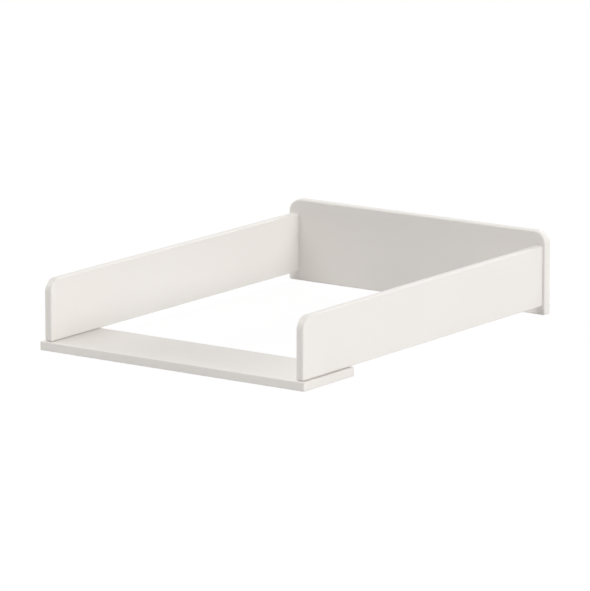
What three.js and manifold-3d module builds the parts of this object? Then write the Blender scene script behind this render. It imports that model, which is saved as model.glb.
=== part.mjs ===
// Changing table topper: a low frame of painted boards that holds a changing mat on a chest of drawers.
// Two side panels stand on a flat front base rail and butt against a taller back panel.
// Millimetres. +X is right seen from the front, +Y points to the back and +Z up.
// The origin is on the surface that the topper rests on, in the middle of its width and depth.
import * as THREE from "three";
import { mergeVertices } from "three/addons/utils/BufferGeometryUtils.js";
import Module from "manifold-3d";

const wasm = await Module();
wasm.setup();

// Side panels
const insideWidth = 532;
const sidePanelLength = 760;
const sidePanelHeight = 113;
const sidePanelThickness = 16;
const sidePanelFrontRadius = 25;

// Back panel
const backPanelHeight = 156;
const backPanelThickness = 19;
const backPanelTopRadius = 25;
const backPanelOverhang = 6;

// Front base rail
const railDepth = 152;
const railThickness = 16;
const railFrontOverhang = 6;
const railEndOverhang = 6;

// Eased edges: a plain corner of an outline is a little larger than the round along the edge
const panelEdgeRadius = 3;
const railEdgeRadius = 1.2;
const plainCornerExtra = 0.5;

// Connector screws
const screwLength = 50;
const screwHeadDiameter = 10;
const screwHeadRim = 1.2;
const screwHeadCone = 2.6;
const screwHeadSink = 0.4;
const screwShoulderDiameter = 7;
const screwShoulderLength = 5;
const screwThreadDiameter = 6.8;
const screwCoreDiameter = 4.6;
const screwThreadPitch = 3;
const screwPointLength = 3;
const screwPointDiameter = 3.6;
const socketAcrossFlats = 4;
const socketDepth = 3.2;

// Fluted dowels
const dowelDiameter = 8;
const dowelLength = 30;
const dowelChamfer = 1;
const dowelFluteDepth = 0.35;
const dowelCover = 5;

// Cover caps over the rear screw heads
const capDiameter = 13;
const capHeight = 2;
const capEdgeRadius = 0.9;
const capStubLength = 2.2;

// Places of the fixings: screws this far from the ends of a joint, dowels shared out between the screws
const backScrewInset = 20.5;
const railScrewInset = 25;
const dowelPlaceShares = [1 / 3, 2 / 3];

// Clearances
const screwClearance = 0.3;
const dowelClearance = 0.3;
const holeEndClearance = 1;
const capStubClearance = 0.3;
const cutOverrun = 2;
const joinOverlap = 0.4;

// Facets
const largeArcSteps = 10;
const smallArcSteps = 3;
const edgeSteps = 3;
const screwSides = 8;
const holeSides = 16;
const dowelFlutes = 12;
const capSides = 20;
const socketSides = 6;

// Shares of the thread's pitch: where the root starts and ends after a sharp crest, how far the thread takes
// to reach its full height at either end, and the step from the shoulder down to the core
const rootStartShare = 0.24;
const rootEndShare = 0.76;
const threadFadeShare = 0.6;
const shoulderStepShare = 0.25;

// Levels and faces that the pieces share
const outsideWidth = insideWidth + 2 * sidePanelThickness;
const overallDepth = railFrontOverhang + sidePanelLength + backPanelThickness + capHeight;
const railFrontY = -overallDepth / 2;
const sideFrontY = railFrontY + railFrontOverhang;
const sideRearY = sideFrontY + sidePanelLength;
const backRearY = sideRearY + backPanelThickness;
const railRearY = railFrontY + railDepth;
const sideBottomZ = railThickness;
const sideTopZ = sideBottomZ + sidePanelHeight;
const sideCentreX = (insideWidth + sidePanelThickness) / 2;

// Finishes
const paintedBoard = { color: 0xeae6e1, roughness: 0.4, metalness: 0 };
const zincedSteel = { color: 0xb9bcbf, roughness: 0.35, metalness: 0.9 };
const beech = { color: 0xd3aa77, roughness: 0.8, metalness: 0 };
const whitePlastic = { color: 0xe9e8e4, roughness: 0.45, metalness: 0 };

// Geometry and solids

// Triangles that have lost an edge to the merging of their corners are left out.
function withoutSlivers(index) {
  const kept = [];
  for (let i = 0; i < index.length; i += 3) {
    const [a, b, c] = index.slice(i, i + 3);
    if (a !== b && b !== c && c !== a) kept.push(a, b, c);
  }
  return new Uint32Array(kept);
}

function solidOf(geometry) {
  const bare = geometry.clone();
  bare.deleteAttribute("normal");
  bare.deleteAttribute("uv");
  const merged = mergeVertices(bare);
  return new wasm.Manifold(
    new wasm.Mesh({
      numProp: 3,
      vertProperties: merged.attributes.position.array,
      triVerts: withoutSlivers(merged.index.array),
    }),
  );
}

function geometryOf(solid) {
  const { vertProperties, triVerts, numProp } = solid.getMesh();
  const geometry = new THREE.BufferGeometry();
  geometry.setAttribute("position", new THREE.BufferAttribute(new Float32Array(vertProperties), numProp));
  geometry.setIndex(new THREE.BufferAttribute(new Uint32Array(triVerts), 1));
  const flat = geometry.toNonIndexed();
  flat.computeVertexNormals();
  return flat;
}

function namedMesh(name, geometry, finish) {
  const mesh = new THREE.Mesh(geometry, new THREE.MeshStandardMaterial(finish));
  mesh.name = name;
  return mesh;
}

// Cuts the placed tools out of a placed piece.
function cutOut(piece, tools) {
  piece.updateMatrix();
  const toPiece = piece.matrix.clone().invert();
  let solid = solidOf(piece.geometry);
  for (const tool of tools) {
    tool.updateMatrix();
    const toolInPiece = toPiece.clone().multiply(tool.matrix);
    solid = solid.subtract(solidOf(tool.geometry.clone().applyMatrix4(toolInPiece)));
  }
  piece.geometry = geometryOf(solid);
}

// Boards

// An outline centred on the origin, with a quarter round at each corner, anticlockwise from the lower left.
function boardOutline(width, height, corners) {
  const cornerSigns = [[-1, -1], [1, -1], [1, 1], [-1, 1]];
  const points = [];
  cornerSigns.forEach(([across, up], i) => {
    const { radius, steps } = corners[i];
    const start = Math.PI + (i * Math.PI) / 2;
    for (let k = 0; k <= steps; k++) {
      const angle = start + ((k / steps) * Math.PI) / 2;
      const x = across * (width / 2 - radius) + radius * Math.cos(angle);
      const y = up * (height / 2 - radius) + radius * Math.sin(angle);
      points.push(new THREE.Vector2(x, y));
    }
  });
  return new THREE.Shape(points);
}

// A board between z = 0 and its thickness, with the edges of both faces rounded.
function boardGeometry(outline, thickness, edgeRadius) {
  const geometry = new THREE.ExtrudeGeometry(outline, {
    depth: thickness - 2 * edgeRadius,
    bevelThickness: edgeRadius,
    bevelSize: edgeRadius,
    bevelOffset: -edgeRadius,
    bevelSegments: edgeSteps,
  });
  return geometry.translate(0, 0, edgeRadius);
}

function plainCorner(edgeRadius) {
  return { radius: edgeRadius + plainCornerExtra, steps: smallArcSteps };
}

function largeCorner(radius) {
  return { radius, steps: largeArcSteps };
}

// The outline lies in the YZ plane: its left end is the front end, with the large corner at the top. The rear end
// is sawn off square, with all of its rounds, so that it butts flat against the back panel.
function sidePanel(name, side) {
  const plain = plainCorner(panelEdgeRadius);
  const corners = [plain, plain, plain, largeCorner(sidePanelFrontRadius)];
  const sawnOff = plain.radius + cutOverrun;
  const outline = boardOutline(sidePanelLength + sawnOff, sidePanelHeight, corners);
  const whole = boardGeometry(outline, sidePanelThickness, panelEdgeRadius).translate(sawnOff / 2, 0, 0);
  const geometry = geometryOf(solidOf(whole).trimByPlane([-1, 0, 0], -sidePanelLength / 2));
  const panel = namedMesh(name, geometry, paintedBoard);
  const alongY = new THREE.Vector3(0, 1, 0);
  const alongZ = new THREE.Vector3(0, 0, 1);
  const alongX = new THREE.Vector3(1, 0, 0);
  panel.rotation.setFromRotationMatrix(new THREE.Matrix4().makeBasis(alongY, alongZ, alongX));
  const leftFaceX = side * sideCentreX - sidePanelThickness / 2;
  panel.position.set(leftFaceX, (sideFrontY + sideRearY) / 2, (sideBottomZ + sideTopZ) / 2);
  return panel;
}

function backPanel() {
  const plain = plainCorner(panelEdgeRadius);
  const large = largeCorner(backPanelTopRadius);
  const width = outsideWidth + 2 * backPanelOverhang;
  const outline = boardOutline(width, backPanelHeight, [plain, plain, large, large]);
  const geometry = boardGeometry(outline, backPanelThickness, panelEdgeRadius);
  const panel = namedMesh("back_panel", geometry, paintedBoard);
  panel.rotation.x = Math.PI / 2;
  panel.position.set(0, backRearY, backPanelHeight / 2);
  return panel;
}

function baseRail() {
  const plain = plainCorner(railEdgeRadius);
  const width = outsideWidth + 2 * railEndOverhang;
  const outline = boardOutline(width, railDepth, [plain, plain, plain, plain]);
  const geometry = boardGeometry(outline, railThickness, railEdgeRadius);
  const rail = namedMesh("front_base_rail", geometry, paintedBoard);
  rail.position.set(0, (railFrontY + railRearY) / 2, 0);
  return rail;
}

// Connector screws: the head's top is at z = 0 and the point at z = -screwLength

const shoulderEndZ = -(screwHeadRim + screwHeadCone + screwShoulderLength);
const threadTopZ = shoulderEndZ - shoulderStepShare * screwThreadPitch;
const threadEndZ = -(screwLength - screwPointLength);

// The points from the point up to the head. Those that wind become the lines of the thread.
function screwProfile() {
  const head = screwHeadDiameter / 2;
  const shoulder = screwShoulderDiameter / 2;
  const core = screwCoreDiameter / 2;
  const crest = screwThreadDiameter / 2;
  const point = (radius, z) => ({ radius, z, winds: false });
  const rows = [point(0, -screwLength), point(screwPointDiameter / 2, -screwLength)];
  rows.push(point(core, threadEndZ));
  const turns = Math.ceil((threadTopZ - threadEndZ) / screwThreadPitch) + 1;
  for (let turn = -1; turn < turns; turn++) {
    const z = threadEndZ + turn * screwThreadPitch;
    rows.push({ radius: crest, z, winds: true });
    rows.push({ radius: core, z: z + rootStartShare * screwThreadPitch, winds: true });
    rows.push({ radius: core, z: z + rootEndShare * screwThreadPitch, winds: true });
  }
  rows.push(point(core, threadTopZ), point(shoulder, shoulderEndZ));
  rows.push(point(shoulder, -(screwHeadRim + screwHeadCone)), point(head, -screwHeadRim), point(head, 0));
  rows.push(point(0, 0));
  return rows;
}

// The lathe's rows that belong to the thread climb one pitch in a turn, and fade into the core at both ends.
function screwBody() {
  const rows = screwProfile();
  const outline = rows.map(({ radius, z }) => new THREE.Vector2(radius, z));
  const lathe = new THREE.LatheGeometry(outline, screwSides);
  const place = lathe.attributes.position;
  const core = screwCoreDiameter / 2;
  const fade = threadFadeShare * screwThreadPitch;
  for (let i = 0; i < place.count; i++) {
    const row = rows[i % rows.length];
    if (!row.winds) continue;
    const turned = Math.floor(i / rows.length) / screwSides;
    const z = THREE.MathUtils.clamp(row.z + turned * screwThreadPitch, threadEndZ, threadTopZ);
    const full = Math.min(1, (z - threadEndZ) / fade, (threadTopZ - z) / fade);
    const radius = core + (row.radius - core) * full;
    place.setXYZ(i, (place.getX(i) / row.radius) * radius, z, (place.getZ(i) / row.radius) * radius);
  }
  return lathe.rotateX(Math.PI / 2);
}

function hexagonRod(acrossFlats, length) {
  const radius = acrossFlats / 2 / Math.cos(Math.PI / socketSides);
  return new THREE.CylinderGeometry(radius, radius, length, socketSides).rotateX(Math.PI / 2);
}

function screwGeometry() {
  const socket = hexagonRod(socketAcrossFlats, socketDepth + cutOverrun);
  socket.translate(0, 0, (cutOverrun - socketDepth) / 2);
  return geometryOf(solidOf(screwBody()).subtract(solidOf(socket)));
}

// The hole for a screw: its own steps, wider by the clearance, open past the face and a little too deep.
function screwHoleGeometry() {
  const head = screwHeadDiameter / 2 + screwClearance;
  const shank = Math.max(screwShoulderDiameter, screwThreadDiameter) / 2 + screwClearance;
  const endZ = -(screwLength + holeEndClearance);
  const outline = [
    new THREE.Vector2(0, endZ),
    new THREE.Vector2(shank, endZ),
    new THREE.Vector2(shank, -(screwHeadRim + screwHeadCone)),
    new THREE.Vector2(head, -screwHeadRim),
    new THREE.Vector2(head, cutOverrun),
    new THREE.Vector2(0, cutOverrun),
  ];
  return new THREE.LatheGeometry(outline, holeSides).rotateX(Math.PI / 2);
}

// Dowels and their holes, along z and centred on the face where the two boards meet

function dowelOutline() {
  const count = 2 * dowelFlutes;
  const points = [];
  for (let k = 0; k < count; k++) {
    const radius = dowelDiameter / 2 - (k % 2) * dowelFluteDepth;
    const angle = (k / count) * 2 * Math.PI;
    points.push(new THREE.Vector2(radius * Math.cos(angle), radius * Math.sin(angle)));
  }
  return new THREE.Shape(points);
}

// How far the dowel reaches into the face of a board: the hole ends a little deeper, under the board's cover.
function dowelDepthInFace(boardThickness) {
  return boardThickness - dowelCover - holeEndClearance;
}

function dowelGeometry(boardThickness) {
  const geometry = new THREE.ExtrudeGeometry(dowelOutline(), {
    depth: dowelLength - 2 * dowelChamfer,
    bevelThickness: dowelChamfer,
    bevelSize: dowelChamfer,
    bevelOffset: -dowelChamfer,
    bevelSegments: 1,
  });
  return geometry.translate(0, 0, dowelChamfer + dowelDepthInFace(boardThickness) - dowelLength);
}

function dowelHoleGeometry(boardThickness) {
  const radius = dowelDiameter / 2 + dowelClearance;
  const length = dowelLength + 2 * holeEndClearance;
  const hole = new THREE.CylinderGeometry(radius, radius, length, holeSides).rotateX(Math.PI / 2);
  return hole.translate(0, 0, dowelDepthInFace(boardThickness) + holeEndClearance - length / 2);
}

// Cover caps: a disc with a rounded edge on z = 0, and a stub that plugs into the screw's socket

function capGeometry() {
  const radius = capDiameter / 2;
  const outline = [new THREE.Vector2(0, 0), new THREE.Vector2(radius, 0)];
  for (let k = 0; k <= edgeSteps; k++) {
    const angle = ((k / edgeSteps) * Math.PI) / 2;
    const x = radius - capEdgeRadius * (1 - Math.cos(angle));
    outline.push(new THREE.Vector2(x, capHeight - capEdgeRadius * (1 - Math.sin(angle))));
  }
  outline.push(new THREE.Vector2(0, capHeight));
  const disc = new THREE.LatheGeometry(outline, capSides).rotateX(Math.PI / 2);
  const stubReach = screwHeadSink + capStubLength;
  const stub = hexagonRod(socketAcrossFlats - 2 * capStubClearance, stubReach + joinOverlap);
  stub.translate(0, 0, (joinOverlap - stubReach) / 2);
  return geometryOf(solidOf(disc).add(solidOf(stub)));
}

// Fixings: each joint has its screws and dowels along one line

const sides = { left: -1, right: 1 };

// The places along a joint, from its low end to its high end.
function placesAlong(low, high, inset) {
  const first = low + inset;
  const last = high - inset;
  return {
    screws: [first, last],
    dowels: dowelPlaceShares.map((share) => first + share * (last - first)),
  };
}

// Local +z points out of the back panel's rear face.
function throughBack(piece, side, y, z) {
  piece.rotation.x = -Math.PI / 2;
  piece.position.set(side * sideCentreX, y, z);
  return piece;
}

// Local +z points out of the rail's underside.
function throughRail(piece, side, y, z) {
  piece.rotation.x = Math.PI;
  piece.position.set(side * sideCentreX, y, z);
  return piece;
}

const screw = screwGeometry();
const screwHole = screwHoleGeometry();
const cap = capGeometry();
const fixings = [];
const backHoles = [];
const railHoles = [];

function joinToBack(sideName, side) {
  const places = placesAlong(sideBottomZ, sideTopZ, backScrewInset);
  const dowel = dowelGeometry(backPanelThickness);
  const dowelHole = dowelHoleGeometry(backPanelThickness);
  const headY = backRearY - screwHeadSink;
  ["lower", "upper"].forEach((level, i) => {
    const name = `${sideName}_${level}`;
    const screwMesh = namedMesh(`back_screw_${name}`, screw, zincedSteel);
    const capMesh = namedMesh(`screw_cap_${name}`, cap, whitePlastic);
    const dowelMesh = namedMesh(`back_dowel_${name}`, dowel, beech);
    fixings.push(throughBack(screwMesh, side, headY, places.screws[i]));
    fixings.push(throughBack(capMesh, side, backRearY, places.screws[i]));
    fixings.push(throughBack(dowelMesh, side, sideRearY, places.dowels[i]));
    backHoles.push(throughBack(new THREE.Mesh(screwHole), side, headY, places.screws[i]));
    backHoles.push(throughBack(new THREE.Mesh(dowelHole), side, sideRearY, places.dowels[i]));
  });
}

function joinToRail(sideName, side) {
  const places = placesAlong(sideFrontY, railRearY, railScrewInset);
  const dowel = dowelGeometry(railThickness);
  const dowelHole = dowelHoleGeometry(railThickness);
  ["front", "rear"].forEach((end, i) => {
    const name = `${sideName}_${end}`;
    const screwMesh = namedMesh(`rail_screw_${name}`, screw, zincedSteel);
    const dowelMesh = namedMesh(`rail_dowel_${name}`, dowel, beech);
    fixings.push(throughRail(screwMesh, side, places.screws[i], screwHeadSink));
    fixings.push(throughRail(dowelMesh, side, places.dowels[i], sideBottomZ));
    railHoles.push(throughRail(new THREE.Mesh(screwHole), side, places.screws[i], screwHeadSink));
    railHoles.push(throughRail(new THREE.Mesh(dowelHole), side, places.dowels[i], sideBottomZ));
  });
}

for (const [sideName, side] of Object.entries(sides)) {
  joinToBack(sideName, side);
  joinToRail(sideName, side);
}

// The boards, drilled for the fixings that reach them

const topper = new THREE.Group();
const back = backPanel();
cutOut(back, backHoles);
const rail = baseRail();
cutOut(rail, railHoles);
topper.add(back, rail);

for (const [sideName, side] of Object.entries(sides)) {
  const panel = sidePanel(`${sideName}_side_panel`, side);
  const ownHoles = [...backHoles, ...railHoles].filter((hole) => Math.sign(hole.position.x) === side);
  cutOut(panel, ownHoles);
  topper.add(panel);
}
topper.add(...fixings);

export default topper;
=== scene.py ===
"""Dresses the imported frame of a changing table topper: four painted boards, and the screws, dowels and cover
caps that join them.

Metres, in the frame's own axes: +X is right seen from the front, +Y points to the back and +Z up. Each piece
takes its place and its outer size from the box of the frame node that it stands for.
"""

import math

import bpy
from bpy.props import FloatProperty, FloatVectorProperty, IntProperty, PointerProperty
from bpy.types import Operator, Panel, PropertyGroup
from mathutils import Euler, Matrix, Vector


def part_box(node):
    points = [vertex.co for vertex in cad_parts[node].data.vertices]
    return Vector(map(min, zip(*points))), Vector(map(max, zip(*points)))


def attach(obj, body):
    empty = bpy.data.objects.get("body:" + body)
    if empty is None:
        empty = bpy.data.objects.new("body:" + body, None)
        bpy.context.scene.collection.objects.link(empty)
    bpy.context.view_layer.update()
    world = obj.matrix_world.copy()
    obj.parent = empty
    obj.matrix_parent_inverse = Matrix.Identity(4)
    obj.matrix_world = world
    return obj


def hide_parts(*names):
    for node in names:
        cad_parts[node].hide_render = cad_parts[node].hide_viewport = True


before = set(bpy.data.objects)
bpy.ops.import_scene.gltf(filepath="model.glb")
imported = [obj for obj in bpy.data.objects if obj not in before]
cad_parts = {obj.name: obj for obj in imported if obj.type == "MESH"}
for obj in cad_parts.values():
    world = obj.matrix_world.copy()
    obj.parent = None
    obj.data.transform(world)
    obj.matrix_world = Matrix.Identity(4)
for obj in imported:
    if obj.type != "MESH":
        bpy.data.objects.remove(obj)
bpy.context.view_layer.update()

bl_info = {
    "name": "Changing Table Topper",
    "version": (1, 0, 0),
    "blender": (4, 5, 0),
    "location": "View3D > Sidebar > Topper",
    "description": "Builds the painted boards and the fixings of a changing table topper",
    "category": "Add Mesh",
}

BODY = "root"

# The camera: its sensor's width in mm, and how far it sees in metres
SENSOR = 36
CLIP_END = 200

# The lamps: each one's azimuth, from the front towards the right, its elevation, and how wide it looks from
# the object, in degrees. They are suns, so how far off they stand, in metres, doesn't change their light.
LAMP_DISTANCE = 3
LAMPS = {
    "right": (90, 16, 20),
    "left": (-90, 20, 20),
    "front": (-30, 60, 50),
    "rear": (180, 20, 50),
}

# How far the floor lies under the object, in metres, so that their faces don't share a plane
FLOOR_GAP = 0.0001
WHITE = (1, 1, 1, 1)

# Attributes that the trees and the materials share
OUTWARD = "outward"
OWN_PLACE = "own_place"

# The frame's names and directions
SIDES = ("left", "right")
LEVELS = ("lower", "upper")
ENDS = ("front", "rear")
OUT_OF_THE_BACK = Vector((0, 1, 0))
OUT_OF_THE_RAIL = Vector((0, 0, -1))

# Turns that stand a board up from the XY plane, and one that leaves it lying
FACING_THE_SIDE = Euler((math.pi / 2, 0, math.pi / 2))
FACING_THE_FRONT = Euler((math.pi / 2, 0, 0))
LYING = Euler((0, 0, 0))

# The corners of a board's outline, in the order of a quadrilateral's points
UPPER_RIGHT, UPPER_LEFT, LOWER_LEFT, LOWER_RIGHT = CORNERS = (
    "Upper right radius",
    "Upper left radius",
    "Lower left radius",
    "Lower right radius",
)

# Facets of the turned pieces and their holes
HEXAGON = 6
SCREW_SIDES = 32
THREAD_STEPS = 32
HOLE_SIDES = 40
FLUTE_STEPS = 8
CAP_SIDES = 64
CAP_STEPS = 6

# A thread's ridge: how deep it reaches into the core, as a share of its height; half its width at the foot
# and at the crest, as shares of the pitch; and the share of its full section with which it starts and ends
THREAD_ROOT_SHARE = 0.4
THREAD_FOOT_SHARE = 0.26
THREAD_CREST_SHARE = 0.05
THREAD_START_SHARE = 0.05

# Points as near as this, in metres, are merged, and an edge that bends by more than this angle stays sharp
SEAM = 1e-6
SHARP_EDGE = math.radians(32)

# Nearly all of a noise texture's values lie between these
NOISE_LOW = 0.3
NOISE_HIGH = 0.7

MICROMETRE = 1e-6


def length(name, description, default):
    """A property for a size, in metres."""
    return FloatProperty(
        name=name,
        description=description,
        default=default,
        min=0,
        precision=5,
        unit="LENGTH",
        subtype="DISTANCE",
    )


def colour(name, description, default):
    """A property for the colour of a finish."""
    return FloatVectorProperty(
        name=name, description=description, default=default, min=0, max=1, size=3, subtype="COLOR"
    )


def angle(name, description, degrees):
    """A property for an angle, whose default is given in degrees."""
    return FloatProperty(
        name=name, description=description, default=math.radians(degrees), unit="ROTATION", subtype="ANGLE"
    )


def count(name, description, default, least):
    """A property for a number of facets or grooves."""
    return IntProperty(name=name, description=description, default=default, min=least)


def amount(name, description, default):
    """A property for a plain number, such as a strength or a share."""
    return FloatProperty(name=name, description=description, default=default, min=0)


# What a user would change


class TopperBoards(PropertyGroup):
    """Sizes of the boards that the frame's boxes don't give."""

    panel_edge_radius: length("Panel edge radius", "Round along the edges of the upright panels", 0.003)
    rail_edge_radius: length("Rail edge radius", "Round along the edges of the base rail", 0.0012)
    large_corner_radius: length("Large corner radius", "Front top of the sides, both tops of the back", 0.025)
    plain_corner_extra: length("Plain corner extra", "How much rounder it is than the board's edge", 0.0005)
    flat_margin: length("Flat margin", "Narrow flat strip beside each round, which keeps a face even", 0.0003)
    hairline: length("Hairline", "Open joint under the side panels, which shows as a dark line", 0.0004)
    corner_steps: count("Corner steps", "Facets in a quarter round corner", 24, least=2)
    edge_steps: count("Edge steps", "Facets in the round of an edge", 8, least=2)


class TopperFixings(PropertyGroup):
    """Sizes of the screws, dowels, caps and holes that the frame's boxes don't give."""

    head_rim: length("Head rim", "Height of the straight rim of a screw's head", 0.0012)
    head_cone: length("Head cone", "Height of the countersunk cone under the rim", 0.0026)
    head_chamfer: length("Head chamfer", "Small chamfer round the top of a screw's head", 0.00025)
    shoulder_diameter: length("Shoulder diameter", "Plain shank under a screw's head", 0.007)
    shoulder_length: length("Shoulder length", "Plain shank under a screw's head", 0.005)
    thread_diameter: length("Thread diameter", "Over the crests of the thread", 0.0068)
    core_diameter: length("Core diameter", "At the roots of the thread", 0.0046)
    thread_pitch: length("Thread pitch", "From one turn of the thread to the next", 0.003)
    point_diameter: length("Point diameter", "Flat end of a screw", 0.0036)
    point_length: length("Point length", "Taper at the end of a screw", 0.003)
    socket_across_flats: length("Socket across flats", "Hexagon socket in a screw's head", 0.004)
    socket_depth: length("Socket depth", "Hexagon socket in a screw's head", 0.0032)
    flute_depth: length("Flute depth", "Of the grooves along a dowel", 0.00035)
    flutes: count("Flutes", "Grooves round a dowel", 12, least=3)
    dowel_chamfer: length("Dowel chamfer", "At both ends of a dowel", 0.001)
    cap_height: length("Cap height", "How far a cap stands off the board", 0.002)
    cap_edge_radius: length("Cap edge radius", "Round of a cap's rim", 0.0009)
    cap_dome: length("Cap dome", "How much a cap's face rises to its middle", 0.00015)
    hole_clearance: length("Hole clearance", "Between a screw, dowel or stub and its hole", 0.0003)
    hole_end_clearance: length("Hole end clearance", "Past the end of a screw or dowel", 0.001)
    overrun: length("Overrun", "How far a cutting shape runs past the face that it opens", 0.002)
    overlap: length("Overlap", "How far joined shapes reach into each other", 0.0004)


class TopperFinishes(PropertyGroup):
    """Colours of the finishes."""

    paint: colour("Paint", "White paint of the boards", (0.82, 0.79, 0.755))
    steel: colour("Steel", "Zinc plated steel of the screws", (0.62, 0.63, 0.65))
    beech: colour("Beech", "Wood of the dowels", (0.66, 0.46, 0.27))
    plastic: colour("Plastic", "White plastic of the caps", (0.82, 0.81, 0.785))


class TopperStage(PropertyGroup):
    """The camera and the studio."""

    azimuth: angle("Azimuth", "Of the camera, from the front towards the right", 35.308)
    elevation: angle("Elevation", "Of the camera above the horizon", 11.927)
    distance: length("Distance", "From the camera to the point that it aims at", 9.314)
    aim: FloatVectorProperty(
        name="Aim",
        description="Point in the middle of the picture",
        default=(0.0263, -0.0512, 0.0787),
        unit="LENGTH",
        subtype="XYZ",
    )
    focal_length: amount("Focal length", f"In mm, on a sensor {SENSOR} mm wide", 315.65)
    world_light: amount("World light", "Strength of the even light all round", 0.3)
    right_light: amount("Right light", "Strength of the right lamp", 0.49)
    left_light: amount("Left light", "Strength of the left lamp", 0.357)
    front_light: amount("Front light", "Strength of the front lamp", 0.367)
    rear_light: amount("Rear light", "Strength of the rear lamp", 0.296)
    floor_size: length("Floor size", "Side of the square floor", 60)
    floor_colour: amount("Floor colour", "Share of the light that it gives back", 0.85)
    floor_shade: amount("Floor shade", "How strongly it shows the shadow", 0.12)
    floor_glow: amount("Floor glow", "How white it looks even in the shadow", 0.9)


# Node trees


class Value:
    """A number in a node tree. Sums, differences, products and quotients of values add the nodes for them."""

    def __init__(self, tree, socket):
        self.tree = tree
        self.socket = socket

    def __add__(self, other):
        return self.tree.maths("ADD", self, other)

    def __radd__(self, other):
        return self.tree.maths("ADD", other, self)

    def __sub__(self, other):
        return self.tree.maths("SUBTRACT", self, other)

    def __rsub__(self, other):
        return self.tree.maths("SUBTRACT", other, self)

    def __mul__(self, other):
        return self.tree.maths("MULTIPLY", self, other)

    def __rmul__(self, other):
        return self.tree.maths("MULTIPLY", other, self)

    def __truediv__(self, other):
        return self.tree.maths("DIVIDE", self, other)

    def __neg__(self):
        return self.tree.maths("MULTIPLY", self, -1)


def source_of(value):
    """The socket that a Value, a socket or a node's first output stands for, or None for a plain value."""
    if isinstance(value, Value):
        return value.socket
    if isinstance(value, bpy.types.NodeSocket):
        return value
    if isinstance(value, bpy.types.Node):
        return value.outputs[0]
    return None


class Tree:
    """Adds nodes to a node tree, and sets them out in columns from left to right."""

    # How wide a column is and how high a row, in the node editor's units
    COLUMN = 220
    ROW = 200

    def __init__(self, node_tree):
        self.node_tree = node_tree
        self.columns = {}

    def feed(self, socket, value):
        """Links the value's source to the socket, or sets a plain value. Gives the source's column."""
        source = source_of(value)
        if source is None:
            socket.default_value = value
            return -1
        self.node_tree.links.new(source, socket)
        return self.columns[source.node.name]

    def add(self, kind, inputs=None, **settings):
        """A new node with these settings and inputs. A list feeds a socket that takes several links."""
        node = self.node_tree.nodes.new(kind)
        for name, value in settings.items():
            setattr(node, name, value)
        column = 0
        for key, given in (inputs or {}).items():
            for value in given if isinstance(given, list) else [given]:
                column = max(column, self.feed(node.inputs[key], value) + 1)
        row = list(self.columns.values()).count(column)
        self.columns[node.name] = column
        node.location = (self.COLUMN * column, -self.ROW * row)
        return node

    def value(self, source):
        """The source as a Value."""
        return Value(self, source_of(source))

    def maths(self, operation, *values):
        """The result of a Math node."""
        return self.value(self.add("ShaderNodeMath", dict(enumerate(values)), operation=operation))


class GeometryTree(Tree):
    """The tree of a Geometry Nodes modifier, with named inputs."""

    def __init__(self, name):
        super().__init__(bpy.data.node_groups.new(name, "GeometryNodeTree"))
        self.node_tree.is_modifier = True
        for in_out in ("INPUT", "OUTPUT"):
            self.node_tree.interface.new_socket("Geometry", in_out=in_out, socket_type="NodeSocketGeometry")
        self.entry = self.add("NodeGroupInput")

    def input(self, name, kind):
        """The socket of a new named input."""
        self.node_tree.interface.new_socket(name, in_out="INPUT", socket_type=kind)
        return self.entry.outputs[name]

    def lengths(self, *names):
        """New named inputs for sizes."""
        return [self.value(self.input(name, "NodeSocketFloat")) for name in names]

    def point(self, x=0.0, y=0.0, z=0.0):
        return self.add("ShaderNodeCombineXYZ", {"X": x, "Y": y, "Z": z})

    def switch(self, values):
        """For each element, the value whose place in the list is the element's index."""
        index = self.add("GeometryNodeInputIndex")
        node = self.add("GeometryNodeIndexSwitch", {"Index": index}, data_type="FLOAT")
        while len(node.index_switch_items) < len(values):
            node.index_switch_items.new()
        for item, value in enumerate(values):
            self.feed(node.inputs[item + 1], value)
        return self.value(node)

    def join(self, first, second):
        meshes = {"Mesh 2": [first, second]}
        return self.add("GeometryNodeMeshBoolean", meshes, operation="UNION", solver="MANIFOLD")

    def cut(self, body, *cutters):
        meshes = {"Mesh 1": body, "Mesh 2": list(cutters)}
        return self.add("GeometryNodeMeshBoolean", meshes, operation="DIFFERENCE", solver="MANIFOLD")

    def on_places(self, piece):
        """The piece at each point of the object's own mesh, with its z axis turned outward. Before it is
        placed, each of its points keeps where it is on the piece, for patterns that follow it."""
        own = {"Geometry": piece, "Name": OWN_PLACE, "Value": self.add("GeometryNodeInputPosition")}
        piece = self.add("GeometryNodeStoreNamedAttribute", own, data_type="FLOAT_VECTOR")
        outward = self.add("GeometryNodeInputNamedAttribute", {"Name": OUTWARD}, data_type="FLOAT_VECTOR")
        turn = self.add("FunctionNodeAlignRotationToVector", {"Vector": outward}, axis="Z")
        places = {"Points": self.entry.outputs["Geometry"], "Instance": piece, "Rotation": turn}
        return self.add("GeometryNodeInstanceOnPoints", places)

    def finish(self, piece, placed=False):
        """Smooths the piece between its sharp edges, sets it on its places if it has any, and brings real
        geometry with its material to the output."""
        piece = self.add("GeometryNodeSetShadeSmooth", {"Geometry": piece, "Shade Smooth": True})
        is_sharp = self.maths("GREATER_THAN", self.add("GeometryNodeInputMeshEdgeAngle"), SHARP_EDGE)
        sharp = {"Geometry": piece, "Selection": is_sharp, "Shade Smooth": False}
        piece = self.add("GeometryNodeSetShadeSmooth", sharp, domain="EDGE")
        if placed:
            piece = self.on_places(piece)
        piece = self.add("GeometryNodeRealizeInstances", {"Geometry": piece})
        material = self.input("Material", "NodeSocketMaterial")
        piece = self.add("GeometryNodeSetMaterial", {"Geometry": piece, "Material": material})
        self.add("NodeGroupOutput", {"Geometry": piece})
        return self.node_tree


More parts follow.
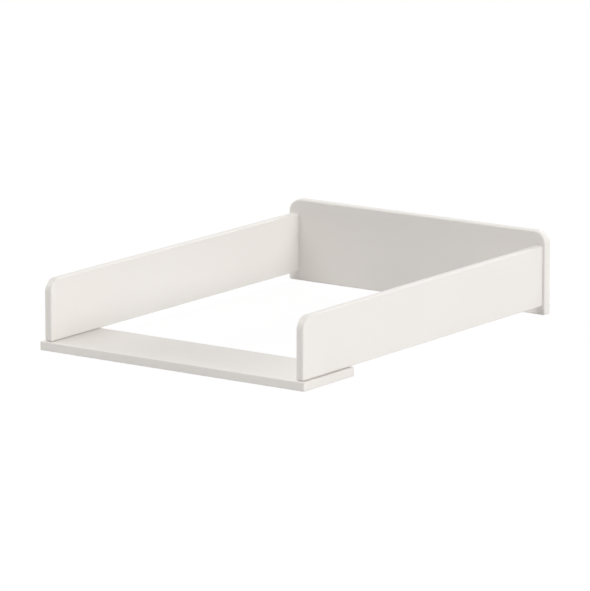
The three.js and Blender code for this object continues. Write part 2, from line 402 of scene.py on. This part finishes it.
def grow(name, tree, values, places=()):
    """A plain mesh object at the origin, which the tree makes from values for its inputs, by their names. The
    places are (point, outward direction), for a tree that sets its piece on them."""
    seed = bpy.data.meshes.new(name)
    seed.from_pydata([point for point, _ in places], [], [])
    outward = seed.attributes.new(OUTWARD, "FLOAT_VECTOR", "POINT")
    for item, (_, direction) in zip(outward.data, places):
        item.vector = direction
    piece = bpy.data.objects.new(name, seed)
    bpy.context.scene.collection.objects.link(piece)
    modifier = piece.modifiers.new(tree.name, "NODES")
    modifier.node_group = tree
    for item in tree.interface.items_tree:
        if item.in_out == "INPUT" and item.name in values:
            modifier[item.identifier] = values[item.name]
    depsgraph = bpy.context.evaluated_depsgraph_get()
    piece_as_made = piece.evaluated_get(depsgraph)
    mesh = bpy.data.meshes.new_from_object(piece_as_made, depsgraph=depsgraph)
    piece.modifiers.remove(modifier)
    piece.data = mesh
    bpy.data.meshes.remove(seed)
    mesh.name = name
    if not mesh.polygons:
        raise RuntimeError(f"the tree {tree.name} made no faces for {name}")
    return piece


def stand_for(piece, node):
    """The piece rides with the frame and stands for the node, whose own part is hidden."""
    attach(piece, BODY)
    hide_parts(node)


def tree_named(name, build):
    """The tree of this name, which is built when it is first needed."""
    return bpy.data.node_groups.get(name) or build(name)


# Finishes


class Finish(Tree):
    """A material with one Principled shader."""

    def __init__(self, name, base, metallic=0.0):
        self.material = bpy.data.materials.new(name)
        self.material.use_nodes = True
        super().__init__(self.material.node_tree)
        self.node_tree.nodes.clear()
        self.base = (*base, 1)
        self.shader = self.add("ShaderNodeBsdfPrincipled", {"Base Color": self.base, "Metallic": metallic})
        self.add("ShaderNodeOutputMaterial", {"Surface": self.shader})

    def object_place(self):
        """Where a point is in the object's own coordinates."""
        return self.add("ShaderNodeTexCoord").outputs["Object"]

    def own_place(self):
        """Where a point was on its piece before the piece was placed."""
        return self.add("ShaderNodeAttribute", attribute_name=OWN_PLACE).outputs["Vector"]

    def scaled_along(self, place, scale):
        """The place with its z scaled. More than 1 packs a pattern closer along z, and less draws it out."""
        return self.add("ShaderNodeMapping", {"Vector": place, "Scale": (1.0, 1.0, scale)})

    def noise(self, place, spots, detail=2.0):
        """Noise that runs from 0 to 1, with so many spots in a metre."""
        noise = self.add("ShaderNodeTexNoise", {"Vector": place, "Scale": spots, "Detail": detail})
        spread = {"Value": noise, "From Min": NOISE_LOW, "From Max": NOISE_HIGH}
        return self.value(self.add("ShaderNodeMapRange", spread))

    def tone(self, strength):
        """The base colour, lighter or darker by the strength, which is 1 where it stays as it is."""
        tone = self.add("ShaderNodeHueSaturation", {"Value": strength, "Color": self.base})
        self.feed(self.shader.inputs["Base Color"], tone)

    def roughness(self, level):
        self.feed(self.shader.inputs["Roughness"], level)

    def relief(self, *layers):
        """Bumps from (height from 0 to 1, real height in metres) layers."""
        normal = None
        for height, depth in layers:
            bump = {"Height": height, "Distance": depth, "Strength": 1.0}
            if normal:
                bump["Normal"] = normal
            normal = self.add("ShaderNodeBump", bump)
        self.feed(self.shader.inputs["Normal"], normal)


def between(low, high, share):
    """From low, where the share is 0, to high, where it is 1."""
    return low + (high - low) * share


def painted_board(name):
    """Satin paint, sprayed on smooth board: a faint orange peel and slightly uneven gloss and tone."""
    t = Finish(name, bpy.context.scene.topper_finishes.paint)
    place = t.object_place()
    clouds = t.noise(place, spots=7.0)
    sheen = t.noise(place, spots=45.0, detail=4.0)
    orange_peel = t.noise(place, spots=420.0)
    fine_spray = t.noise(place, spots=2600.0)
    t.tone(between(0.994, 1.006, clouds))
    t.roughness(between(0.35, 0.41, sheen))
    t.relief((orange_peel, 4 * MICROMETRE), (fine_spray, 1.5 * MICROMETRE))
    return t.material


def zinc_plated_steel(name):
    """Bright zinc with fine turning marks round the screw's axis."""
    t = Finish(name, bpy.context.scene.topper_finishes.steel, metallic=1.0)
    place = t.own_place()
    clouds = t.noise(place, spots=600.0, detail=4.0)
    sheen = t.noise(place, spots=1500.0)
    turning_marks = t.noise(t.scaled_along(place, 12.0), spots=900.0, detail=3.0)
    t.tone(between(0.92, 1.04, clouds))
    t.roughness(between(0.24, 0.4, sheen))
    t.relief((turning_marks, 10 * MICROMETRE))
    return t.material


def beech_wood(name):
    """Pale beech with its grain along the dowel and its short darker flecks."""
    t = Finish(name, bpy.context.scene.topper_finishes.beech)
    place = t.own_place()
    grain = t.noise(t.scaled_along(place, 0.06), spots=900.0, detail=5.0)
    flecks = t.noise(t.scaled_along(place, 0.25), spots=2600.0, detail=1.0)
    palest, grain_shade, fleck_shade = 1.06, 0.16, 0.1
    t.tone(palest - grain_shade * grain - fleck_shade * flecks * flecks * flecks)
    t.roughness(between(0.62, 0.78, grain))
    t.relief((grain, 30 * MICROMETRE), (flecks, 10 * MICROMETRE))
    return t.material


def moulded_plastic(name):
    """Matt moulded plastic with the fine sparkle of its mould."""
    t = Finish(name, bpy.context.scene.topper_finishes.plastic)
    place = t.object_place()
    clouds = t.noise(place, spots=300.0)
    sheen = t.noise(place, spots=2200.0)
    sparkle = t.noise(place, spots=5200.0, detail=1.0)
    t.tone(between(0.99, 1.01, clouds))
    t.roughness(between(0.38, 0.46, sheen))
    t.relief((sparkle, 4 * MICROMETRE))
    return t.material


def finish_named(name, build):
    """The material of this name, which is made when it is first needed."""
    return bpy.data.materials.get(name) or build(name)


# Boards


def board_tree(name):
    """A board with its own radius at each corner of its outline and a round along every edge, drilled by the
    holes that reach it. Where its right end is sawn off, with the rounds there, that end is square. Before it
    is turned and placed it lies on the XY plane, centred."""
    t = GeometryTree(name)
    width, height, thickness = t.lengths("Width", "Height", "Thickness")
    edge_radius, flat_margin, sawn_off = t.lengths("Edge radius", "Flat margin", "Sawn off")
    corner_radii = t.lengths(*CORNERS)
    corner_steps = t.input("Corner steps", "NodeSocketInt")
    edge_steps = t.input("Edge steps", "NodeSocketInt")

    outline = t.add("GeometryNodeCurvePrimitiveQuadrilateral", {"Width": width + sawn_off, "Height": height})
    rounds = {"Curve": outline, "Count": corner_steps, "Radius": t.switch(corner_radii)}
    outline = t.add("GeometryNodeFilletCurve", rounds, mode="POLY")
    outline = t.add("GeometryNodeSetCurveNormal", {"Curve": outline}, mode="Z_UP")

    # The edge: its section goes from the rim of one face to the rim of the other
    half = thickness / 2
    inset = edge_radius + flat_margin
    points = {
        "Point 1": t.point(-inset, -half),
        "Point 2": t.point(0.0, -half),
        "Point 3": t.point(0.0, half),
        "Point 4": t.point(-inset, half),
    }
    section = t.add("GeometryNodeCurvePrimitiveQuadrilateral", points, mode="POINTS")
    section = t.add("GeometryNodeSetSplineCyclic", {"Geometry": section, "Cyclic": False})
    rounds = {"Curve": section, "Count": edge_steps, "Radius": edge_radius}
    section = t.add("GeometryNodeFilletCurve", rounds, mode="POLY")
    edge = t.add("GeometryNodeCurveToMesh", {"Curve": outline, "Profile Curve": section})

    # The two faces, which fill the rims that the edge leaves open. The edges of a rim have one face each.
    is_rim = t.maths("COMPARE", t.add("GeometryNodeInputMeshEdgeNeighbors"), 1.0, 0.0)
    point = t.add("ShaderNodeSeparateXYZ", {0: t.add("GeometryNodeInputPosition")})
    is_high = t.maths("GREATER_THAN", point.outputs["Z"], 0.0)
    rim = t.add("GeometryNodeMeshToCurve", {"Mesh": edge, "Selection": is_rim * is_high})
    face = t.add("GeometryNodeFillCurve", {"Curve": rim}, mode="NGONS")
    top = t.add("GeometryNodeTransform", {"Geometry": face, "Translation": t.point(z=half)})
    bottom = t.add("GeometryNodeTransform", {"Geometry": face, "Translation": t.point(z=-half)})
    bottom = t.add("GeometryNodeFlipFaces", {"Mesh": bottom})
    board = t.add("GeometryNodeJoinGeometry", {"Geometry": [edge, top, bottom]})
    board = t.add("GeometryNodeMergeByDistance", {"Geometry": board, "Distance": SEAM})

    # The right end, sawn off by a block that is larger than the end all round
    board = t.add("GeometryNodeTransform", {"Geometry": board, "Translation": t.point(x=sawn_off / 2)})
    waste = t.add("GeometryNodeMeshCube", {"Size": t.point(sawn_off * 2, height * 2, thickness * 2)})
    beyond = t.point(x=width / 2 + sawn_off)
    waste = t.add("GeometryNodeTransform", {"Geometry": waste, "Translation": beyond})
    choice = {"Switch": t.maths("GREATER_THAN", sawn_off, 0.0), "False": board, "True": t.cut(board, waste)}
    board = t.add("GeometryNodeSwitch", choice, input_type="GEOMETRY")

    turn = t.add("FunctionNodeEulerToRotation", {"Euler": t.input("Turn", "NodeSocketVector")})
    place = t.input("Place", "NodeSocketVector")
    board = t.add("GeometryNodeTransform", {"Geometry": board, "Translation": place, "Rotation": turn})
    holes = []
    for kind in ("Screw holes", "Dowel holes"):
        drilled = t.add("GeometryNodeObjectInfo", {"Object": t.input(kind, "NodeSocketObject")})
        holes.append(drilled.outputs["Geometry"])
    return t.finish(t.cut(board, *holes))


def build_board(context, node, turn, edge_radius, large_corners=(), square_end=False, hairline=0.0):
    """The board for a frame node, less the hairline beneath it. The turn brings its width, height and
    thickness to the frame's axes."""
    sizes = context.scene.topper_boards
    low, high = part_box(node)
    low = low + Vector((0, 0, hairline))
    width, height, thickness = (abs(size) for size in turn.to_matrix().transposed() @ (high - low))
    radii = {corner: edge_radius + sizes.plain_corner_extra for corner in CORNERS}
    radii.update({corner: sizes.large_corner_radius for corner in large_corners})
    sawn_off = edge_radius + sizes.plain_corner_extra + context.scene.topper_fixings.overrun
    screw_holes, dowel_holes = drilled_holes(context)
    values = {
        **radii,
        "Width": width,
        "Height": height,
        "Thickness": thickness,
        "Edge radius": edge_radius,
        "Flat margin": sizes.flat_margin,
        "Sawn off": sawn_off if square_end else 0.0,
        "Corner steps": sizes.corner_steps,
        "Edge steps": sizes.edge_steps,
        "Turn": list(turn),
        "Place": list((low + high) / 2),
        "Screw holes": screw_holes,
        "Dowel holes": dowel_holes,
        "Material": finish_named("Painted board", painted_board),
    }
    piece = grow(f"{node}_painted", tree_named("Board", board_tree), values)
    bpy.data.objects.remove(screw_holes)
    bpy.data.objects.remove(dowel_holes)
    stand_for(piece, node)


# Fixings: each is made along z with its outward end at z = 0, and is then set on its place


def circle(t, sides):
    """A round section of radius 1."""
    return t.add("GeometryNodeCurvePrimitiveCircle", {"Resolution": sides, "Radius": 1.0})


def turned(t, rows, section):
    """The section swept up the z axis through rows of (height, radius), from the lowest to the highest."""
    line = t.add("GeometryNodeCurvePrimitiveLine")
    axis = t.add("GeometryNodeResampleCurve", {"Curve": line, "Count": len(rows)})
    heights = t.point(z=t.switch([height for height, _ in rows]))
    axis = t.add("GeometryNodeSetPosition", {"Geometry": axis, "Position": heights})
    radius = t.switch([radius for _, radius in rows])
    sweep = {"Curve": axis, "Profile Curve": section, "Scale": radius, "Fill Caps": True}
    return t.add("GeometryNodeCurveToMesh", sweep)


def hexagon_rod(t, across_flats, low, high):
    """A six-sided rod on the z axis, between two heights."""
    radius = across_flats / (2 * math.cos(math.pi / HEXAGON))
    return turned(t, [(low, radius), (high, radius)], circle(t, HEXAGON))


def thread(t, low, high, core_radius, crest_radius, pitch):
    """A right-handed ridge that winds round the core, growing out of it and fading into it at its ends."""
    turns = (high - low) / pitch
    helix = {
        "Resolution": THREAD_STEPS,
        "Rotations": turns,
        "Start Radius": core_radius,
        "End Radius": core_radius,
        "Height": high - low,
        "Reverse": True,
    }
    path = t.add("GeometryNodeCurveSpiral", helix)
    path = t.add("GeometryNodeSetCurveNormal", {"Curve": path}, mode="Z_UP")
    crest = crest_radius - core_radius
    root = crest * THREAD_ROOT_SHARE
    foot = pitch * THREAD_FOOT_SHARE
    top = pitch * THREAD_CREST_SHARE
    points = {
        "Point 1": t.point(-root, -foot),
        "Point 2": t.point(crest, -top),
        "Point 3": t.point(crest, top),
        "Point 4": t.point(-root, foot),
    }
    section = t.add("GeometryNodeCurvePrimitiveQuadrilateral", points, mode="POINTS")
    along = t.value(t.add("GeometryNodeSplineParameter")) * turns
    full = t.maths("MINIMUM", along, turns - along)
    full = t.maths("MINIMUM", t.maths("MAXIMUM", full, THREAD_START_SHARE), 1.0)
    sweep = {"Curve": path, "Profile Curve": section, "Scale": full, "Fill Caps": True}
    ridge = t.add("GeometryNodeCurveToMesh", sweep)
    return t.add("GeometryNodeTransform", {"Geometry": ridge, "Translation": t.point(z=low)})


def screw_tree(name):
    """Connector screws: a countersunk head with a hexagon socket, a plain shoulder, and a thread."""
    t = GeometryTree(name)
    total, head, rim, cone, chamfer = t.lengths("Length", "Diameter", "Head rim", "Head cone", "Head chamfer")
    shoulder, shoulder_length, crest, core = t.lengths(
        "Shoulder diameter", "Shoulder length", "Thread diameter", "Core diameter"
    )
    pitch, point, point_length = t.lengths("Thread pitch", "Point diameter", "Point length")
    socket, socket_depth, overrun = t.lengths("Socket across flats", "Socket depth", "Overrun")

    neck = -(rim + cone)
    shoulder_end = neck - shoulder_length
    core_top = shoulder_end - (shoulder - core) / 2
    point_top = point_length - total
    rows = [
        (-total, point / 2),
        (point_top, core / 2),
        (core_top, core / 2),
        (shoulder_end, shoulder / 2),
        (neck, shoulder / 2),
        (-rim, head / 2),
        (-chamfer, head / 2),
        (0.0, head / 2 - chamfer),
    ]
    body = turned(t, rows, circle(t, SCREW_SIDES))
    body = t.join(body, thread(t, point_top, core_top, core / 2, crest / 2, pitch))
    body = t.cut(body, hexagon_rod(t, socket, -socket_depth, overrun))
    # Where the ridge grows out of the core, the union leaves points that lie on one another
    body = t.add("GeometryNodeMergeByDistance", {"Geometry": body, "Distance": SEAM})
    return t.finish(body, placed=True)


def screw_hole_tree(name):
    """The holes for connector screws, open past the head and a little too deep."""
    t = GeometryTree(name)
    total, head, rim, cone = t.lengths("Length", "Diameter", "Head rim", "Head cone")
    shoulder, crest, gap, end_gap, overrun = t.lengths(
        "Shoulder diameter", "Thread diameter", "Hole clearance", "Hole end clearance", "Overrun"
    )
    shank = t.maths("MAXIMUM", shoulder, crest) / 2 + gap
    rows = [
        (-(total + end_gap), shank),
        (-(rim + cone), shank),
        (-rim, head / 2 + gap),
        (overrun, head / 2 + gap),
    ]
    return t.finish(turned(t, rows, circle(t, HOLE_SIDES)), placed=True)


def dowel_tree(name):
    """Dowels with grooves along them and chamfered ends."""
    t = GeometryTree(name)
    total, diameter, groove, chamfer = t.lengths("Length", "Diameter", "Flute depth", "Dowel chamfer")
    flutes = t.value(t.input("Flutes", "NodeSocketInt"))
    wave = t.maths("SINE", t.value(t.add("GeometryNodeInputIndex")) * (math.pi / FLUTE_STEPS))
    share = 1.0 - wave * wave * groove / (diameter / 2)
    drawn_in = {0: t.add("GeometryNodeInputPosition"), "Scale": share}
    fluted = t.add("ShaderNodeVectorMath", drawn_in, operation="SCALE")
    round_section = circle(t, flutes * FLUTE_STEPS)
    section = t.add("GeometryNodeSetPosition", {"Geometry": round_section, "Position": fluted})
    full = diameter / 2
    end = full - chamfer
    rows = [(-total, end), (chamfer - total, full), (-chamfer, full), (0.0, end)]
    return t.finish(turned(t, rows, section), placed=True)


def dowel_hole_tree(name):
    """The holes for dowels, a little longer at both ends."""
    t = GeometryTree(name)
    total, diameter, gap, end_gap = t.lengths("Length", "Diameter", "Hole clearance", "Hole end clearance")
    radius = diameter / 2 + gap
    rows = [(-(total + end_gap), radius), (end_gap, radius)]
    return t.finish(turned(t, rows, circle(t, HOLE_SIDES)), placed=True)


def cap_tree(name):
    """Cover caps: a disc with a rounded rim and a slightly domed face, and a stub for the screw's socket."""
    t = GeometryTree(name)
    total, diameter, height = t.lengths("Length", "Diameter", "Cap height")
    edge, dome = t.lengths("Cap edge radius", "Cap dome")
    socket, gap, overlap = t.lengths("Socket across flats", "Hole clearance", "Overlap")
    flat = diameter / 2 - edge
    rows = [(-height, diameter / 2)]
    for step in range(CAP_STEPS + 1):
        bend = math.pi / 2 * step / CAP_STEPS
        rows.append((edge * (math.sin(bend) - 1) - dome, flat + edge * math.cos(bend)))
    for step in range(1, CAP_STEPS):
        share = 1 - step / CAP_STEPS
        rows.append((dome * -(share**2), flat * share))
    disc = turned(t, rows, circle(t, CAP_SIDES))
    stub = hexagon_rod(t, socket - 2 * gap, -total, overlap - height)
    return t.finish(t.join(disc, stub), placed=True)


def extents(node, outward):
    """The length of a fixing's node along its outward direction, and its diameter across it."""
    low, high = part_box(node)
    size = high - low
    along = abs(size.dot(outward))
    return along, max(part for part, out in zip(size, outward) if out == 0)


def place_of(node, outward):
    """The point where a fixing's axis leaves its node's box on the outward side, and that direction."""
    low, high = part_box(node)
    along, _ = extents(node, outward)
    return (low + high) / 2 + outward * along / 2, outward


def fixing_values(context, node, outward):
    """Values for the inputs of the fixings' trees, by their names."""
    sizes = context.scene.topper_fixings
    values = {sizes.bl_rna.properties[key].name: getattr(sizes, key) for key in TopperFixings.__annotations__}
    values["Length"], values["Diameter"] = extents(node, outward)
    return values


def build_fixing(context, node, outward, tree, finish):
    """The fixing for a frame node."""
    values = fixing_values(context, node, outward)
    values["Material"] = finish
    piece = grow(f"{node}_finished", tree, values, [place_of(node, outward)])
    stand_for(piece, node)


def joint_nodes(kind):
    """Each screw or dowel of the back and of the rail, with its outward direction."""
    back = [(f"back_{kind}_{side}_{level}", OUT_OF_THE_BACK) for side in SIDES for level in LEVELS]
    rail = [(f"rail_{kind}_{side}_{end}", OUT_OF_THE_RAIL) for side in SIDES for end in ENDS]
    return back + rail


def drilled_holes(context):
    """Two cutting shapes for the boards: the holes of all screws, and those of all dowels."""
    holes = []
    for kind, build in (("screw", screw_hole_tree), ("dowel", dowel_hole_tree)):
        nodes = joint_nodes(kind)
        places = [place_of(node, outward) for node, outward in nodes]
        tree = tree_named(f"{kind.title()} holes", build)
        holes.append(grow(f"{kind}_holes", tree, fixing_values(context, *nodes[0]), places))
    return holes


# Stage


def seen_plainly(t):
    """1 where the camera sees a surface, or sees it in a reflection or through glass, and 0 where it only
    gives light to others."""
    rays = t.add("ShaderNodeLightPath").outputs
    seen = t.maths("MAXIMUM", rays["Is Camera Ray"], rays["Is Glossy Ray"])
    return t.maths("MAXIMUM", seen, rays["Is Transmission Ray"])


def build_world(scene):
    """Even light from all round, which looks plain white itself."""
    world = bpy.data.worlds.new("Studio")
    world.use_nodes = True
    scene.world = world
    t = Tree(world.node_tree)
    t.node_tree.nodes.clear()
    light = t.add("ShaderNodeBackground", {"Color": WHITE, "Strength": scene.topper_stage.world_light})
    white = t.add("ShaderNodeBackground", {"Color": WHITE, "Strength": 1.0})
    both = t.add("ShaderNodeMixShader", {0: seen_plainly(t), 1: light, 2: white})
    t.add("ShaderNodeOutputWorld", {"Surface": both})


def grey(level):
    return (level, level, level, 1)


def build_floor(scene):
    """A plain pale floor. It looks almost white, keeps the object's shadow and gives light back as white
    paint does."""
    look = scene.topper_stage
    half = look.floor_size / 2
    corners = [(-half, -half), (half, -half), (half, half), (-half, half)]
    mesh = bpy.data.meshes.new("floor")
    mesh.from_pydata([(x, y, -FLOOR_GAP) for x, y in corners], [], [(0, 1, 2, 3)])
    floor = bpy.data.objects.new("floor", mesh)
    scene.collection.objects.link(floor)

    material = bpy.data.materials.new("Floor")
    material.use_nodes = True
    t = Tree(material.node_tree)
    t.node_tree.nodes.clear()
    pale = t.add("ShaderNodeBsdfDiffuse", {"Color": grey(look.floor_colour)})
    shaded = t.add("ShaderNodeBsdfDiffuse", {"Color": grey(look.floor_shade)})
    glow = t.add("ShaderNodeEmission", {"Color": WHITE, "Strength": look.floor_glow})
    white = t.add("ShaderNodeAddShader", {0: shaded, 1: glow})
    both = t.add("ShaderNodeMixShader", {0: seen_plainly(t), 1: pale, 2: white})
    t.add("ShaderNodeOutputMaterial", {"Surface": both})
    mesh.materials.append(material)


def direction(azimuth, elevation):
    """Away from the object at this angle, where azimuth 0 is the front and 90 degrees the right."""
    level = math.cos(elevation)
    return Vector((math.sin(azimuth) * level, -math.cos(azimuth) * level, math.sin(elevation)))


def facing(away):
    """The turn that makes a lamp or a camera, placed that way from the object, look at it."""
    return (-away).to_track_quat("-Z", "Y").to_euler()


def build_lamps(scene):
    """Sun lamps round the object, whose light is the same all over it and the softer the wider they look."""
    look = scene.topper_stage
    for side, (azimuth, elevation, spread) in LAMPS.items():
        light = bpy.data.lights.new(f"{side}_lamp", "SUN")
        light.energy = getattr(look, f"{side}_light") * math.pi
        light.angle = math.radians(spread)
        lamp = bpy.data.objects.new(light.name, light)
        away = direction(math.radians(azimuth), math.radians(elevation))
        lamp.location = away * LAMP_DISTANCE
        lamp.rotation_euler = facing(away)
        scene.collection.objects.link(lamp)


def build_camera(scene):
    """The camera, at the photograph's angle and with its long focal length."""
    look = scene.topper_stage
    lens = bpy.data.cameras.new("Camera")
    lens.sensor_width = SENSOR
    lens.lens = look.focal_length
    lens.clip_end = CLIP_END
    camera = bpy.data.objects.new("Camera", lens)
    away = direction(look.azimuth, look.elevation)
    camera.location = Vector(look.aim) + away * look.distance
    camera.rotation_euler = facing(away)
    scene.collection.objects.link(camera)
    scene.camera = camera


# Operators


class TopperBackPanel(Operator):
    """Builds the tall back panel, with its two large top corners"""

    bl_idname = "topper.back_panel"
    bl_label = "Back panel"

    def execute(self, context):
        radius = context.scene.topper_boards.panel_edge_radius
        build_board(context, "back_panel", FACING_THE_FRONT, radius, large_corners=(UPPER_LEFT, UPPER_RIGHT))
        return {"FINISHED"}


class TopperSidePanels(Operator):
    """Builds the two side panels, each with a large corner at its front top and a square rear end"""

    bl_idname = "topper.side_panels"
    bl_label = "Side panels"

    def execute(self, context):
        sizes = context.scene.topper_boards
        for side in SIDES:
            build_board(
                context,
                f"{side}_side_panel",
                FACING_THE_SIDE,
                sizes.panel_edge_radius,
                large_corners=(UPPER_LEFT,),
                square_end=True,
                hairline=sizes.hairline,
            )
        return {"FINISHED"}


class TopperBaseRail(Operator):
    """Builds the flat rail under the front of the side panels"""

    bl_idname = "topper.base_rail"
    bl_label = "Base rail"

    def execute(self, context):
        build_board(context, "front_base_rail", LYING, context.scene.topper_boards.rail_edge_radius)
        return {"FINISHED"}


class TopperScrews(Operator):
    """Builds the connector screws of the back panel and the base rail"""

    bl_idname = "topper.screws"
    bl_label = "Connector screws"

    def execute(self, context):
        steel = finish_named("Zinc plated steel", zinc_plated_steel)
        tree = tree_named("Connector screw", screw_tree)
        for node, outward in joint_nodes("screw"):
            build_fixing(context, node, outward, tree, steel)
        return {"FINISHED"}


class TopperDowels(Operator):
    """Builds the fluted dowels beside the screws"""

    bl_idname = "topper.dowels"
    bl_label = "Dowels"

    def execute(self, context):
        beech = finish_named("Beech", beech_wood)
        tree = tree_named("Dowel", dowel_tree)
        for node, outward in joint_nodes("dowel"):
            build_fixing(context, node, outward, tree, beech)
        return {"FINISHED"}


class TopperScrewCaps(Operator):
    """Builds the cover caps over the screws on the rear face"""

    bl_idname = "topper.screw_caps"
    bl_label = "Screw caps"

    def execute(self, context):
        plastic = finish_named("White plastic", moulded_plastic)
        tree = tree_named("Cover cap", cap_tree)
        for side in SIDES:
            for level in LEVELS:
                node = f"screw_cap_{side}_{level}"
                build_fixing(context, node, OUT_OF_THE_BACK, tree, plastic)
        return {"FINISHED"}


class TopperStudio(Operator):
    """Sets up the floor, the soft light and the camera"""

    bl_idname = "topper.studio"
    bl_label = "Studio"

    def execute(self, context):
        scene = context.scene
        scene.view_settings.view_transform = "Standard"
        build_world(scene)
        build_floor(scene)
        build_lamps(scene)
        build_camera(scene)
        return {"FINISHED"}


class TopperPanel(Panel):
    """Lists the steps that build the topper, and what can be changed"""

    bl_idname = "VIEW3D_PT_topper"
    bl_label = "Changing table topper"
    bl_space_type = "VIEW_3D"
    bl_region_type = "UI"
    bl_category = "Topper"

    def draw(self, context):
        for operator in OPERATORS:
            self.layout.operator(operator.bl_idname)
        for name, group in GROUPS.items():
            box = self.layout.box()
            for key in group.__annotations__:
                box.prop(getattr(context.scene, name), key)


OPERATORS = (
    TopperBackPanel,
    TopperSidePanels,
    TopperBaseRail,
    TopperScrews,
    TopperDowels,
    TopperScrewCaps,
    TopperStudio,
)

# The groups of properties, by their names in the scene
GROUPS = {
    "topper_boards": TopperBoards,
    "topper_fixings": TopperFixings,
    "topper_finishes": TopperFinishes,
    "topper_stage": TopperStage,
}


def register():
    for cls in (*GROUPS.values(), *OPERATORS, TopperPanel):
        bpy.utils.register_class(cls)
    for name, group in GROUPS.items():
        setattr(bpy.types.Scene, name, PointerProperty(type=group))


def unregister():
    for name in GROUPS:
        delattr(bpy.types.Scene, name)
    for cls in (TopperPanel, *reversed(OPERATORS), *reversed(GROUPS.values())):
        bpy.utils.unregister_class(cls)


def main():
    """Builds everything."""
    register()
    bpy.ops.topper.back_panel()
    bpy.ops.topper.side_panels()
    bpy.ops.topper.base_rail()
    bpy.ops.topper.screws()
    bpy.ops.topper.dowels()
    bpy.ops.topper.screw_caps()
    bpy.ops.topper.studio()


if __name__ == "__main__":
    main()
